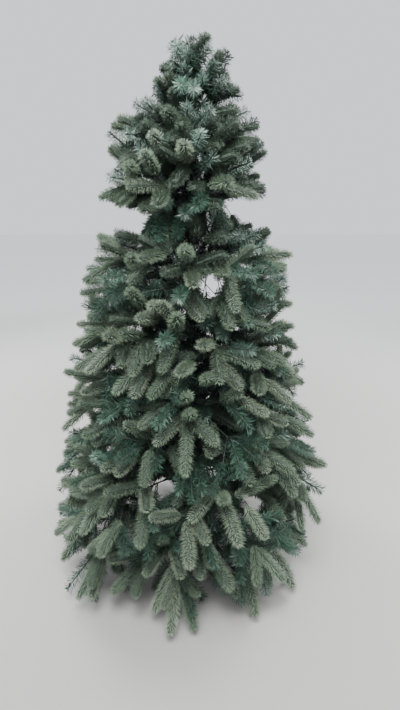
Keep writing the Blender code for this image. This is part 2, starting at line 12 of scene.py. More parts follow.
import bpy
import numpy as np
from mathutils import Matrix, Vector


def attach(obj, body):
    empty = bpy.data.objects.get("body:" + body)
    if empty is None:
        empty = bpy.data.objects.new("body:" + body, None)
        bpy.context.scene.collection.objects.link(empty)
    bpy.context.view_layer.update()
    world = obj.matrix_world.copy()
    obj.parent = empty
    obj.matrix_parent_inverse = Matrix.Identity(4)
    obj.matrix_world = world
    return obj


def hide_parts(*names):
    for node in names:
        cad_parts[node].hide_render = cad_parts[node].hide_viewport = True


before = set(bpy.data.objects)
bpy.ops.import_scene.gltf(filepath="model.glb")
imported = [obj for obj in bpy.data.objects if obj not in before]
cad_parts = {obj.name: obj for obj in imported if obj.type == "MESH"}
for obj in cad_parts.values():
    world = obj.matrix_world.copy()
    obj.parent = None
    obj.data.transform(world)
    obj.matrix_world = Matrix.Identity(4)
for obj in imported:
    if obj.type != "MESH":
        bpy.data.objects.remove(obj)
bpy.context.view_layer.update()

UP = Vector((0, 0, 1))
RIGHT = Vector((1, 0, 0))
GAP = 0.0003  # between two pieces that touch

# Pole: each section is a straight tube, and leans a little more than the one under it.
# Branches leave it at collars, and a sleeve covers each joint between sections.
POLE_SIDES = 8
POLE_FOOT = 0.030
SECTION_TOPS = (0.60, 1.20, 1.56)
SECTION_RADII = (0.016, 0.014, 0.0105)
SECTION_LEANS = (0.0, math.radians(0.9), math.radians(2.2))
SLEEVE_HEIGHT = 0.045
SLEEVE_WALL = 0.0025
POLE_TIP = 1.60
POLE_TIP_RADIUS = 0.005
COLLAR_HEIGHT = 0.026
COLLAR_LIP = 0.009

# Stand: a socket that the pole drops into, four legs that fold out of it and a clamp bolt.
LEG_COUNT = 4
LEG_REACH = 0.285
LEG_RADIUS = 0.009
LEG_TOP = 0.125
SOCKET_HEIGHT = 0.165
SOCKET_RADIUS = 0.022
SOCKET_SIDES = 16
SOCKET_BORE = (SECTION_RADII[0] + GAP) / math.cos(math.pi / SOCKET_SIDES)
FOOT_RADIUS = 0.013
FOOT_HEIGHT = 0.020
BOLT_HEIGHT = 0.148
BOLT_AZIMUTH = math.radians(-50)

# A tier is a ring of branches, the first one at azimuth. They leave the pole at height, rise
# at first, droop to tip_height and end at their reaches; their foliage starts at bare. A
# branch's lift is added to its tip_height. Hang is how much its foliage's tips turn
# downwards, and size is theirs against the others.
Tier = namedtuple("Tier", "name height azimuth rise tip_height bare hang size reaches lifts")
TIERS = [Tier(*row) for row in (
    ("skirt", 0.325, -96, 0.06, 0.015, 0.110, 0.25, 1.05,
     (0.50, 0.49, 0.47, 0.50, 0.54, 0.56), (0.0, 0.0, 0.02, 0.05, 0.09, 0.10)),
    ("lower", 0.500, -72, 0.20, 0.400, 0.120, 0.25, 1.05,
     (0.53, 0.53, 0.54, 0.54, 0.54, 0.53), (-0.02, 0.02, -0.03, 0.03, 0.0, -0.02)),
    ("middle", 0.700, -90, 0.25, 0.655, 0.105, 0.2, 1.0,
     (0.47, 0.47, 0.48, 0.49, 0.49), (0.0, 0.03, -0.03, 0.02, -0.02)),
    ("upper", 0.900, -70, 0.28, 0.870, 0.0, 0.1, 1.0,
     (0.43, 0.42, 0.43, 0.44, 0.43), (0.0, -0.03, 0.03, -0.02, 0.02)),
    ("shoulder", 1.105, -88, 0.42, 1.165, 0.0, 0.0, 0.95,
     (0.36, 0.36, 0.38, 0.38, 0.38), (-0.03, 0.02, -0.02, 0.03, 0.0)),
    ("neck", 1.345, -66, 0.36, 1.400, 0.0, 0.1, 0.85,
     (0.29, 0.28, 0.31, 0.33), (0.0, 0.02, -0.02, 0.0)),
    ("top", 1.490, -98, 0.50, 1.560, 0.0, -0.1, 0.8,
     (0.24, 0.23, 0.25, 0.28), (-0.01, 0.0, -0.02, 0.01)),
)]
# The crown's radius at several heights, for the longest branch of each tier.
CROWN = (
    (0.00, 0.56), (0.14, 0.56), (0.42, 0.54), (0.62, 0.49), (0.82, 0.44), (1.00, 0.40),
    (1.17, 0.375), (1.245, 0.335), (1.27, 0.22), (1.305, 0.22), (1.33, 0.32), (1.50, 0.285), (1.58, 0.27),
    (1.63, 0.155), (1.70, 0.125), (1.80, 0.10),
)
TREE_HEIGHT = 1.80
LOWEST_TIP = 0.006
UNDERSIDE_LIFT = 0.6  # of the lowest foliage, against its branch's lift
STAND_CONE = (0.155, 0.45)  # height at the pole, and slope, of the room that the stand takes
LEADER_ROOF = (1.82, 0.4)  # the same, of the top of the leader's room
LEADER_STEM = Vector((0.012, 0.0, 0.077))
LEADER_LEAN = 0.01  # of its top tip, to the right
LEADER_SIZE = 0.85  # of the tips there, against the others
LEADER_MOULDED = 0.45  # share of the tips
LEADER_ROOM = 0.044  # from the tips, in which another twig grows
LEADER_SLOPE = 0.5  # how much higher than its foot a twig's spot is, against its distance
LEADER_FLOOR = (1.612, 0.10)  # the same, of its underside
POLE_CLEARANCE = 0.030  # between the pole's axis and foliage

# Gaps that the room shows through, for an eye in front of the tree: where each one's middle
# is in the pole's plane (x, z), and its half width and half height there.
EYE = Vector((0.041, -1.64, 1.40))
SEE_THROUGH = (
    (0.075, 1.059, 0.041, 0.028),
    (-0.105, 0.263, 0.051, 0.037),
    (0.248, 0.193, 0.040, 0.033),
    (0.187, 1.308, 0.070, 0.026),
    (-0.211, 1.280, 0.085, 0.026),
    (0.140, -0.450, 0.105, 0.150),
    (-0.335, -0.450, 0.118, 0.150),
)

# Foliage has two kinds of tip: plump moulded ones and thinner foil ones.
BOUGH_RADII = (0.0048, 0.0038)
MOULDED = "moulded"
FOIL = "foil"
SLEEVE = "sleeve"  # short strips wound on a bare length of wire
TIP_LENGTH = {MOULDED: 0.175, FOIL: 0.150}
TIP_WIDTH = {MOULDED: 0.068, FOIL: 0.062}
TIP_THICKNESS = {MOULDED: 0.78, FOIL: 0.70}  # of the width
# Share of the length and of the width at each ring along a tip.
TIP_RINGS = {MOULDED: ((0.32, 1.0), (0.76, 0.82)), FOIL: ((0.40, 1.0),)}
TIP_SKEW = {MOULDED: 0.06, FOIL: 0.09}  # how far a ring's edges are from its middle
TIP_RIDGE = 0.6  # share of a tip's thickness that lies over its axis
CROWDING = 0.78  # least distance between two tips' axes, against their width
# What fit_tip tries in turn: shorter tips, each of them bent (sideways, upwards).
TIP_SCALES = (1.0, 0.85, 0.7)
TIP_BENDS = ((0.0, 0.0), (0.0, 0.4), (0.0, -0.4), (0.35, 0.0), (-0.35, 0.0))
WALL = 0.002  # between a mass and the edge of its space
STEM_STRETCH = 0.12  # length of a stem's straight stretches
STEM_MARGIN = 0.020  # of a stem's ends, which twigs leave free
FORKS = (0.025, 0.050)  # how far behind a stem's end its two side tips leave it
SHORTEST_TWIG = 0.030
SIDE_TIP_SPACING = 0.05  # along a twig
MARKS = (0.25, 0.65, 1.0)  # shares of a tip's length where the room round it is measured
CANDIDATES = 30  # points that a search for room tries
ROOM = 0.080  # from the tips, in which another twig grows
MOST_TWIGS = 50  # that a branch tries to grow
FORK_SLOPE = 0.8  # how far behind a spot its twig leaves the stem, against its distance
WAY_STEP = 0.01
GOLDEN_TURN = math.radians(137.5)
MOULDED_SHARE = (0.25, 0.75)  # of the tips, near the pole and further out
SHARE = 0.52  # how much of the way up the lower tier's foliage takes
WAVES = 4  # of the surface between two tiers, round the tree
WAVE_HEIGHT = 0.16  # for each metre from the pole


def crown_radius(height):
    """The crown's radius at this height."""
    for (low, below), (high, above) in zip(CROWN, CROWN[1:]):
        if height <= high:
            return below + (above - below) * (height - low) / (high - low)
    return CROWN[-1][1]


def stem_height(tier, radius):
    """Height of a tier's stems at this distance from the pole: a slope that droops."""
    reach = max(tier.reaches)
    droop = (tier.height + tier.rise * reach - tier.tip_height) / reach**2
    return tier.height + tier.rise * radius - droop * radius**2


def boundary(order, point):
    """Height of the surface between a tier's foliage and that of the tier under it."""
    radius = point.xy.length
    if order == 0:
        return max(LOWEST_TIP, STAND_CONE[0] - STAND_CONE[1] * radius)
    if order == len(TIERS):
        return LEADER_FLOOR[0] + LEADER_FLOOR[1] * radius
    below, above = TIERS[order - 1], TIERS[order]
    middle = (1 - SHARE) * stem_height(below, radius) + SHARE * stem_height(above, radius)
    wave = math.sin(WAVES * math.atan2(point.y, point.x) + order * GOLDEN_TURN)
    return middle + WAVE_HEIGHT * radius * wave


def pole_axis(height):
    """The pole's axis at this height: each section leans more than the one under it."""
    x, low = 0.0, 0.0
    for top, lean in zip(SECTION_TOPS[:-1] + (math.inf,), SECTION_LEANS):
        x += (min(height, top) - low) * math.tan(lean)
        low = top
        if height <= top:
            break
    return Vector((x, 0.0, height))


def pole_radius(height):
    """The tube's radius at this height, collars and sleeves left out."""
    for top, radius in zip(SECTION_TOPS, SECTION_RADII):
        if height <= top:
            return radius
    return POLE_TIP_RADIUS


def turned(azimuth):
    """(outward, sideways) unit vectors of a branch at this azimuth."""
    outward = Vector((math.cos(azimuth), math.sin(azimuth), 0.0))
    return outward, Vector((-outward.y, outward.x, 0.0))


def in_a_gap(point, margin, gaps=SEE_THROUGH):
    """Whether a point is in front of a gap, or behind it, by this much."""
    seen = EYE + (point - EYE) * (EYE.y / (EYE.y - point.y))
    for x, z, wide, high in gaps:
        if ((seen.x - x) / (wide + margin)) ** 2 + ((seen.z - z) / (high + margin)) ** 2 < 1:
            return True
    return False


class Space:
    """The room that one branch's foliage keeps to: a sector between two tiers."""

    clearance = POLE_CLEARANCE
    inner_spots = 0.02  # how near the pole spots may be: the square of a share of the reach
    sector = 1.0  # in which spots are tried, against its own
    far = 1.0  # how far it reaches, against its branch

    def __init__(self, tier, index):
        self.tier, self.index, self.bare = tier, index, tier.bare
        self.order = TIERS.index(tier)
        self.reach = tier.reaches[index]
        self.share = self.reach / max(tier.reaches)
        self.lift = tier.lifts[index]
        self.half = math.pi / len(tier.reaches)
        self.azimuth = math.radians(tier.azimuth) + 2 * self.half * index
        self.outward, self.sideways = turned(self.azimuth)
        self.root = pole_axis(tier.height)

    def slack(self, away):
        """How far it may cross into the next space, at this place from its root."""
        return 0.0

    def holds(self, point):
        """Whether a point is in this sector, clear of the pole and of the bare bough."""
        away = point - self.root
        out, slack = away.dot(self.outward), self.slack(away)
        if abs(away.dot(self.sideways)) > max(0.0, out) * math.tan(self.half) + (slack or -WALL):
            return False
        if out < self.bare or (point - pole_axis(point.z)).length < self.clearance:
            return False
        if away.xy.length > self.far * min(self.reach, crown_radius(point.z) * self.share):
            return False
        low = self.underside(point) - (slack if self.order else 0.0)
        return low + WALL < point.z < boundary(self.order + 1, point) + slack - WALL

    def underside(self, point):
        """Height of the space's lower side: the lowest tier's is lifted with its branch."""
        lift = 0.0 if self.order else UNDERSIDE_LIFT * self.lift
        return boundary(self.order, point) + lift * (point.xy.length / self.reach) ** 2

    def span(self, point):
        """The lowest and the highest that a spot over this point may be."""
        low = self.underside(point)
        return low, max(low, boundary(self.order + 1, point))

    def spot(self, draw):
        """A point of the space, at random."""
        while True:
            radius = self.reach * math.sqrt(draw.uniform(self.inner_spots, 1.0))
            outward, _ = turned(self.azimuth + self.sector * self.half * draw.uniform(-1.0, 1.0))
            point = self.root + outward * radius
            point.z = draw.uniform(*self.span(point))
            if self.holds(point):
                return point

    def path(self, radius):
        """A point of the stem, which droops to its own tip's height at its own reach."""
        at = self.root + self.outward * radius
        share = max(self.tier.reaches) / self.reach
        at.z = stem_height(self.tier, radius * share) + self.lift * (radius / self.reach) ** 2
        return at

    def seat(self):
        """Radius of the collar's flat side, where the branch leaves it."""
        flat = 2 * math.pi / POLE_SIDES
        lean = self.azimuth - (math.floor(self.azimuth / flat) + 0.5) * flat
        apothem = (pole_radius(self.tier.height) + COLLAR_LIP) * math.cos(flat / 2)
        return (apothem + GAP) / math.cos(lean)


class LeaderSpace:
    """The room over the top tier, round the end of the pole."""

    def __init__(self):
        self.root = pole_axis(POLE_TIP)

    def holds(self, point):
        """Whether a point is in the room."""
        radius = (point - self.root).xy.length
        if radius > crown_radius(point.z):
            return False
        top = min(TREE_HEIGHT, LEADER_ROOF[0] - LEADER_ROOF[1] * radius)
        return boundary(len(TIERS), point) + WALL < point.z < top

    def spot(self, draw):
        """A point of the room, at random."""
        while True:
            outward, _ = turned(draw.uniform(0.0, 2 * math.pi))
            height = draw.uniform(LEADER_FLOOR[0], TREE_HEIGHT)
            point = self.root + outward * crown_radius(height) * math.sqrt(draw.random())
            point.z = height
            if self.holds(point):
                return point


Tip = namedtuple("Tip", "root along up length width kind")
Twig = namedtuple("Twig", "points tip")


def tip_frame(along):
    """Unit vectors along a tip and over it: upwards, or for an upright tip to the right."""
    along = along.normalized()
    up = UP if abs(along.z) < 0.9 else RIGHT
    return along, (up - along * along.dot(up)).normalized()


def along_tip(tip, share=1.0):
    """The point of a tip's axis at this share of its length."""
    return tip.root + tip.along * tip.length * share


def marks_of(tip):
    """Where the room round a tip is measured."""
    return [along_tip(tip, share) for share in MARKS]


def tip_points(tip):
    """The corners of a tip, past its root: its end, and each ring's ridge and two edges."""
    yield along_tip(tip)
    skew = tip.along * tip.length * TIP_SKEW[tip.kind]
    for share, wide in TIP_RINGS[tip.kind]:
        side = tip.along.cross(tip.up) * tip.width / 2 * wide
        lift = tip.up * tip.width * TIP_THICKNESS[tip.kind] * wide
        at = along_tip(tip, share)
        under = at - lift * (1 - TIP_RIDGE)
        yield from (at + lift * TIP_RIDGE, under + skew + side, under - skew - side)


def apart(a, b):
    """Least distance between the outer parts of two tips' axes."""
    steps = (0.3, 0.5, 0.7, 0.95)
    points = [along_tip(b, s) for s in steps]
    return min((along_tip(a, s) - q).length for s in steps for q in points)


class Growth:
    """One branch's foliage: its stem, its twigs and its tips, all inside one space."""

    def __init__(self, space, seed, size, hang=0.0):
        self.space = space
        self.size = size
        self.hang = hang
        self.draw = random.Random(seed)
        self.crowding, self.finer = CROWDING, False
        self.twigs, self.tips, self.marks = [], [], []

    def fit_tip(self, root, along, kind):
        """A tip at root, bent or shortened to fit its space and the other tips, or None."""
        along, up = tip_frame(along)
        side = along.cross(up)
        long = TIP_LENGTH[kind] * self.size * self.draw.uniform(0.92, 1.08)
        width = TIP_WIDTH[kind] * self.size * self.draw.uniform(0.92, 1.06)
        for scale in TIP_SCALES:
            for across, lift in TIP_BENDS:
                heading, up = tip_frame(along + side * across + UP * lift)
                tip = Tip(root, heading, up, long * scale, width * (0.4 + 0.6 * scale), kind)
                if self.fits(tip):
                    self.tips.append(tip)
                    self.marks += marks_of(tip)
                    return tip
        return None

    def fits(self, tip):
        """Whether a tip is inside the space and clear of the other tips."""
        if not all(self.space.holds(p) for p in tip_points(tip)):
            return False
        if any(in_a_gap(p, tip.width / 4) for p in marks_of(tip)):
            return False
        return all(apart(tip, o) > self.crowding * (tip.width + o.width) / 2 for o in self.tips)

    def gap_at(self, spot):
        """Distance from a point to the nearest tip, or to a spot that was tried before."""
        return min((mark - spot).length for mark in self.marks)

    def open_spots(self, room):
        """Points with this much room round them: each is the most open one of a few."""
        for _ in range(MOST_TWIGS):
            spots = [self.space.spot(self.draw) for _ in range(CANDIDATES)]
            spot = max(spots, key=self.gap_at)
            if self.gap_at(spot) < room:
                return
            self.marks.append(spot)
            yield spot

    def free_way(self, start, along):
        """How far a twig can go before it leaves its space."""
        steps = 1
        while self.space.holds(start + along * WAY_STEP * (steps + 1)):
            steps += 1
        return WAY_STEP * steps

    def add_twig(self, start, along, length, kinds):
        """A twig with a tip at its end, and one on its side for each further kind.

        It is as long as its space allows, and where that is short the tip has no twig.
        """
        along = along.normalized()
        turn_out = Vector((start.x, start.y, 0)).normalized() * 0.3 - UP * self.hang
        while length > SHORTEST_TWIG:
            end = start + along * length
            tip = self.space.holds(end) and self.fit_tip(end, along + turn_out, kinds[0])
            if tip:
                break
            length *= 0.7
        else:
            self.fit_tip(start, along, kinds[0])
            return
        self.twigs.append(Twig([start, end], tip))
        side = along.cross(UP).normalized()
        for turn, kind in zip((1, -1), kinds[1:]):
            fork = start.lerp(end, self.draw.uniform(0.5, 0.75))
            lift = UP * self.draw.uniform(-0.8, 0.8)
            self.fit_tip(fork, along + side * turn + lift, kind)


def some_kinds(draw, moulded_share, count):
    """Kinds of tip, of which this share is moulded."""
    return [MOULDED if draw.random() < moulded_share else FOIL for _ in range(count)]


def point_on(stem, space, radius):
    """The point of a stem's straight stretches at this distance from the pole."""
    for low, high in zip(stem, stem[1:]):
        near = (low - space.root).dot(space.outward)
        far = (high - space.root).dot(space.outward)
        if near <= radius <= far:
            return low.lerp(high, (radius - near) / (far - near))
    return stem[-1]


def grow_branch(tier, index):
    """The foliage of one branch of a tier."""
    space = Space(tier, index)
    growth = Growth(space, f"{tier.name} {index}", tier.size, tier.hang)
    draw, sideways = growth.draw, space.sideways
    start = tier.bare or space.seat()
    tip_length = TIP_LENGTH[MOULDED] * tier.size
    last_stretch = space.path(space.reach) - space.path(space.reach - tip_length)
    stop = space.reach - last_stretch.normalized().xy.length * tip_length
    count = max(3, round((stop - start) / STEM_STRETCH) + 1)
    stem = [space.path(start + (stop - start) * k / (count - 1)) for k in range(count)]
    ahead = (space.path(space.reach) - stem[-1]).normalized()
    end_tip = growth.fit_tip(stem[-1], ahead, MOULDED)
    growth.twigs.append(Twig(stem, end_tip))
    for turn, back in zip((1, -1), FORKS):
        fork = point_on(stem, space, stop - back)
        lean = sideways * turn * draw.uniform(0.55, 0.75) + UP * draw.uniform(-0.1, 0.3)
        growth.fit_tip(fork, ahead + lean, MOULDED)
    first = max(start, POLE_CLEARANCE) + STEM_MARGIN
    last = stop - FORKS[-1] - STEM_MARGIN
    for spot in growth.open_spots(ROOM * tier.size):
        add_stem_twig(growth, spot, first, last)
    return growth


def add_stem_twig(growth, spot, first, last):
    """A twig that leaves the stem, between these radii, for a spot where there is room."""
    space, draw = growth.space, growth.draw
    stem = growth.twigs[0].points
    radius = (spot - space.root).dot(space.outward)
    radius -= FORK_SLOPE * (spot - space.path(max(radius, 0.0))).length
    at = point_on(stem, space, min(last, max(first, radius)))
    along = spot - at
    length = min(along.length, growth.free_way(at, along.normalized()))
    length = max(SHORTEST_TWIG, length - growth.size * TIP_LENGTH[MOULDED] / 2)
    moulded_share = MOULDED_SHARE[(spot - space.root).xy.length > 0.5 * space.reach]
    kinds = some_kinds(draw, moulded_share, 1 + round(length / SIDE_TIP_SPACING))
    growth.add_twig(at, along, length, kinds)


def grow_leader():
    """The sprig round the end of the pole: tips that stand up and lean out."""
    growth = Growth(LeaderSpace(), "leader", LEADER_SIZE)
    draw = growth.draw
    foot = pole_axis(POLE_TIP) + UP * GAP
    crest = foot + LEADER_STEM
    top_tip = growth.fit_tip(crest, LEADER_STEM + RIGHT * LEADER_LEAN, FOIL)
    growth.twigs.append(Twig([foot, crest], top_tip))
    for spot in growth.open_spots(LEADER_ROOM):
        height = spot.z - foot.z - LEADER_SLOPE * (spot - foot).xy.length
        at = foot.lerp(crest, min(1.0, max(0.1, height / LEADER_STEM.z)))
        length = (spot - at).length - LEADER_SIZE * 0.8 * TIP_LENGTH[FOIL]
        kinds = some_kinds(draw, LEADER_MOULDED, 1)
        growth.add_twig(at, spot - at, max(SHORTEST_TWIG, length), kinds)
    return growth


# Finer growth: how near each other its tips may come, and how much room each one needs.
FINE_CROWDING = 0.42
FINE_ROOM = 0.057
LEADER_FINE_ROOM = 0.030
FINE_ROUNDS = 3  # of the search for room
FINE_SIZE = 0.95  # of its tips, against the branch's own
FINE_MOULDED = (0.08, 0.45, 0.60)  # share of the tips in each third of the reach
SLACK = 0.070  # how far it may cross into the next space, at the pole
FOOT_SPACING = 0.015  # of the places that a finer twig may leave
LEAST_ANGLE = 0.45  # how much a twig gains by going on ahead, against its length


class Room(Space):
    """Where a branch's finer twigs may go: its own space, let out near the pole."""

    clearance, inner_spots, sector, far = 0.016, 0.01, 1.1, 0.93

    def __init__(self, tier, index):
        super().__init__(tier, index)
        self.bare = -math.inf

    def slack(self, away):
        return SLACK * max(0.0, 1 - away.xy.length / self.reach) ** 0.5

    def span(self, point):
        return boundary(self.order, point) - SLACK, boundary(self.order + 1, point) + SLACK


# Smaller gaps, which are open between single tips.
SMALL_GAPS = (
    (0.056, 1.717, 0.019, 0.028),
    (0.041, 1.400, 0.012, 0.018),
    (0.064, 1.288, 0.014, 0.026),
    (0.065, 0.907, 0.012, 0.014),
    (0.060, 0.737, 0.014, 0.018),
    (0.075, 0.638, 0.016, 0.036),
    (-0.153, 0.340, 0.016, 0.016),
    (-0.105, 0.263, 0.060, 0.046),
    (-0.178, 0.205, 0.036, 0.016),
    (-0.082, 0.322, 0.020, 0.016),
    (0.091, 0.358, 0.024, 0.032),
)
TIP_SHARES = (0.1, 0.35, 0.6, 0.85, 1.0)  # of a tip's length, where it is looked at
GAP_MARGIN = -0.12  # added to a gap's size, against the tip's width


def in_the_way(tip, margin=GAP_MARGIN):
    """Whether a tip would close one of the gaps."""
    points = [along_tip(tip, share) for share in TIP_SHARES]
    return any(in_a_gap(p, tip.width * margin, SEE_THROUGH + SMALL_GAPS) for p in points)


def stretches(growths):
    """The two ends of every straight stretch of the stems and twigs of these growths."""
    return [ends for g in growths for t in g.twigs for ends in zip(t.points, t.points[1:])]


def feet(growth):
    """(point, direction) all along the stem and twigs of a growth."""
    found = []
    for low, high in stretches([growth]):
        ahead = (high - low).normalized()
        steps = max(1, round((high - low).length / FOOT_SPACING))
        found += [(low.lerp(high, k / steps), ahead) for k in range(steps)]
    return found


def grow_finer(growth, seed, room):
    """The finer twigs and tips that grow in the room between those of the solids."""
    space = growth.space
    leader = isinstance(space, LeaderSpace)
    room_space = space if leader else Room(space.tier, space.index)
    fine = Growth(room_space, seed, growth.size * FINE_SIZE, growth.hang)
    fine.crowding, fine.finer = FINE_CROWDING, True
    fine.tips = list(growth.tips)
    fine.marks = [mark for t in growth.tips for mark in marks_of(t)]
    reach = crown_radius(POLE_TIP) if leader else space.reach
    places = feet(growth)
    for _ in range(FINE_ROUNDS):
        for spot in fine.open_spots(room * growth.size):
            ways = [(spot - at).length - LEAST_ANGLE * (spot - at).dot(ahead) for at, ahead in places]
            at = places[ways.index(min(ways))][0]
            third = min(2, int(3 * (spot - space.root).xy.length / reach))
            kind = MOULDED if fine.draw.random() < FINE_MOULDED[third] else FOIL
            length = (spot - at).length - fine.size * TIP_LENGTH[kind] / 2
            if length > SHORTEST_TWIG:
                fine.add_twig(at, spot - at, length, [kind])
            else:
                fine.fit_tip(at, spot - at, kind)
    fine.tips = [t for t in fine.tips[len(growth.tips):] if not in_the_way(t)]
    fine.twigs = [t for t in fine.twigs if not in_the_way(t.tip)]
    return fine


# Templates: a few variants of a tip of each kind, dense for the outside and sparse for near
# the pole, 2 wide and 1 long, along Z. A Lie says how their needles lie: their number and half
# width (dense, sparse), the first root and the roots' span, how much turns and ends stray, and
# how far they reach ahead, out and past the tip's end.
VARIANTS = 4
Lie = namedtuple("Lie", "counts widths first span stray sway ahead out past")
LIES = {
    MOULDED: Lie(
        (330, 130), (0.046, 0.078), -0.02, 0.95, 0.25, 0.12,
        (0.065, 0.105), (0.80, 1.06), (-0.012, 0.004),
    ),
    FOIL: Lie(
        (250, 95), (0.047, 0.072), 0.0, 0.93, 0.3, 0.2,
        (0.04, 0.13), (0.62, 1.08), (-0.04, 0.02),
    ),
    SLEEVE: Lie((22, 22), (0.07, 0.07), 0.0, 1.0, 0.4, 0.0, (0.1, 0.5), (0.6, 1.0), None),
}
CREASE = 0.05  # how much lower than its crease a needle's sides are
CORE_WIDTH = 0.40  # of a moulded tip's dense middle, against its outline
CORE_SHARES = (0.0, 0.12, 0.3, 0.6, 0.82, 0.93)
FOIL_CORE = ((0.0, 0.10), (0.5, 0.11), (0.9, 0.07))
TUFT = (0.72, 0.21)  # where a foil tip's tuft starts, and its length


def outline_of(share):
    """Half width of a moulded tip along its length, against its widest."""
    rise = min(1.0, 0.50 + 0.5 * (share / 0.22))
    fall = math.sqrt(max(0.0, 1 - (max(0.0, share - 0.74) / 0.265) ** 2))
    return rise * (0.14 + 0.86 * fall)


def polar(radius, turn, height):
    return Vector((radius * math.cos(turn), radius * math.sin(turn), height))


def block(points, faces, slot=0):
    """Arrays of points, of triangles and of a material slot for each triangle."""
    return np.array(points), np.array(faces), np.full(len(faces), slot)


def stacked(blocks):
    """One block from several."""
    points, faces, slots = zip(*blocks)
    starts = np.cumsum([0] + [len(p) for p in points[:-1]])
    faces = [f + start for f, start in zip(faces, starts)]
    return np.concatenate(points), np.concatenate(faces), np.concatenate(slots)


def wall_faces(rows, sides):
    """Triangles between rows of points, each a ring with this many sides."""
    faces = []
    for row in range(rows - 1):
        for k in range(sides):
            a, b = row * sides + k, row * sides + (k + 1) % sides
            faces += [(a, b, b + sides), (a, b + sides, a + sides)]
    return faces


def core(profile, sides):
    """A body of revolution through (share, half width) pairs, closed by a point, in the finish of painted
    shade.
    """
    points = [polar(r, 2 * math.pi * k / sides, z) for z, r in profile for k in range(sides)]
    last = len(points) - sides
    cap = [(last + k, last + (k + 1) % sides, len(points)) for k in range(sides)]
    point = Vector((0, 0, profile[-1][0] + 0.01))
    return block(points + [point], wall_faces(len(profile), sides) + cap, 1)


def needle(root, end, across, fold=Vector()):
    """A needle creased from root to end, its two sides lower than the crease by fold."""
    middle = root.lerp(end, 0.58) - fold
    return block([root, middle + across, middle - across, end], [(0, 1, 3), (0, 3, 2)])


def roots(draw, lie, inner):
    """(share of the length, turn) of each needle's root, wound round its twig."""
    count = lie.counts[inner]
    for k in range(count):
        share = lie.first + lie.span * (k + 0.5) / count
        yield share, k * GOLDEN_TURN + draw.uniform(-lie.stray, lie.stray)


def moulded_template(draw, lie, inner):
    """A plump tip: a dense middle, and creased needles that lie forward over it."""
    blocks = [core([(s, CORE_WIDTH * outline_of(s)) for s in CORE_SHARES], 7)]
    for share, turn in roots(draw, lie, inner):
        reach = min(share + draw.uniform(*lie.ahead), 1.0 + draw.uniform(*lie.past))
        out = outline_of(reach) * draw.uniform(*lie.out)
        root = polar(0.5 * (CORE_WIDTH * outline_of(max(0.0, share))), turn, share)
        end = polar(out, turn + draw.uniform(-lie.sway, lie.sway), reach)
        across = polar(lie.widths[inner], turn + math.pi / 2, 0)
        blocks.append(needle(root, end, across, polar(CREASE, turn, -0.004)))
    return stacked(blocks)


def foil_template(draw, lie, inner):
    """A brush of flat, twisted strips round a twig, with a tuft at its end."""
    blocks, wide = [core(FOIL_CORE, 4)], lie.widths[inner]
    for share, turn in roots(draw, lie, inner):
        tuft = max(0.0, (share - TUFT[0]) / TUFT[1])
        out = (0.98 - 0.50 * tuft * draw.random()) * draw.uniform(*lie.out)
        out *= min(1.0, 0.75 + share * 2)
        reach = share + draw.uniform(*lie.ahead) * (1 + 0.5 * tuft)
        reach = min(reach, 1.0 + draw.uniform(*lie.past))
        root = polar(0.05, turn, share)
        end = polar(out, turn + draw.uniform(-lie.sway, lie.sway), reach)
        twist = draw.uniform(-1.1, 1.1)
        across = polar(wide, turn + math.pi / 2, 0) * math.cos(twist)
        across += Vector((0, 0, wide * 0.2 * math.sin(twist)))
        blocks.append(needle(root, end, across))
    return stacked(blocks)


def sleeve_template(draw, lie, inner):
    """Short strips round a bare length of twig, wound on its wire."""
    blocks = []
    for share, turn in roots(draw, lie, inner):
        root = polar(0.05, turn, share)
        end = polar(draw.uniform(*lie.out), turn, share + draw.uniform(*lie.ahead))
        across = polar(lie.widths[inner], turn + math.pi / 2, 0)
        middle = root.lerp(end, 0.6)
        points = [root, middle + across, middle - across, end]
        blocks.append(block(points, [(0, 1, 2), (2, 1, 3)]))
    return stacked(blocks)


MAKERS = {MOULDED: moulded_template, FOIL: foil_template, SLEEVE: sleeve_template}
SHAPES = {
    (kind, inner): [make(random.Random(f"{kind} {k}"), LIES[kind], inner) for k in range(VARIANTS)]
    for kind, make in MAKERS.items()
    for inner in (False, True)
}

# Colours, dealt out by spray: three for the outside; a darker one for a little further in and
# a still darker one for near the pole, both painted shade of the crown's inside; and a lighter
# one for the top, painted light from above. Wound wire has a single one, as dark as the foil
# near the pole: painted shade.
TINTS = {
    MOULDED: (
        (0.102, 0.144, 0.096), (0.084, 0.122, 0.080), (0.134, 0.172, 0.120),
        (0.038, 0.060, 0.039), (0.018, 0.031, 0.021), (0.156, 0.196, 0.148),
    ),
    FOIL: (
        (0.033, 0.078, 0.053), (0.026, 0.062, 0.042), (0.047, 0.093, 0.066),
        (0.015, 0.037, 0.025), (0.009, 0.021, 0.015), (0.068, 0.116, 0.090),
    ),
    # The wound strips' colour is painted shade: as dark as the foil near the pole.
    SLEEVE: ((0.009, 0.021, 0.016),),
}
# Which tints the tips below each height take: at the top most take the lighter tint, painted light from
# above, and low down the foil takes darker ones, painted shade.
TINT_ODDS = (
    (0.75, {MOULDED: (0, 1, 1, 2), FOIL: (0, 1, 1, 1)}),
    (1.42, {MOULDED: (0, 0, 1, 1, 2), FOIL: (0, 0, 1, 1, 2)}),
    (TREE_HEIGHT, {MOULDED: (0, 2, 5, 5, 5), FOIL: (0, 2, 5, 5, 5)}),
)
# The tints of tips that are less far out than these shares of the crown's radius: darker tints, painted
# shade of the crown's inside.
SHADED, SHADED_SHARE = 3, 0.66
DEEP_SHADE, DEEP_SHADE_SHARE = 4, 0.42
# The tips' dense middles are painted nearly black: painted shade, where the needles crowd.
MIDDLE_SHADE = {MOULDED: (0.020, 0.034, 0.022), FOIL: (0.012, 0.022, 0.017)}  # dense middles
ROUGHNESS = {MOULDED: 0.62, FOIL: 0.50, SLEEVE: 0.50}


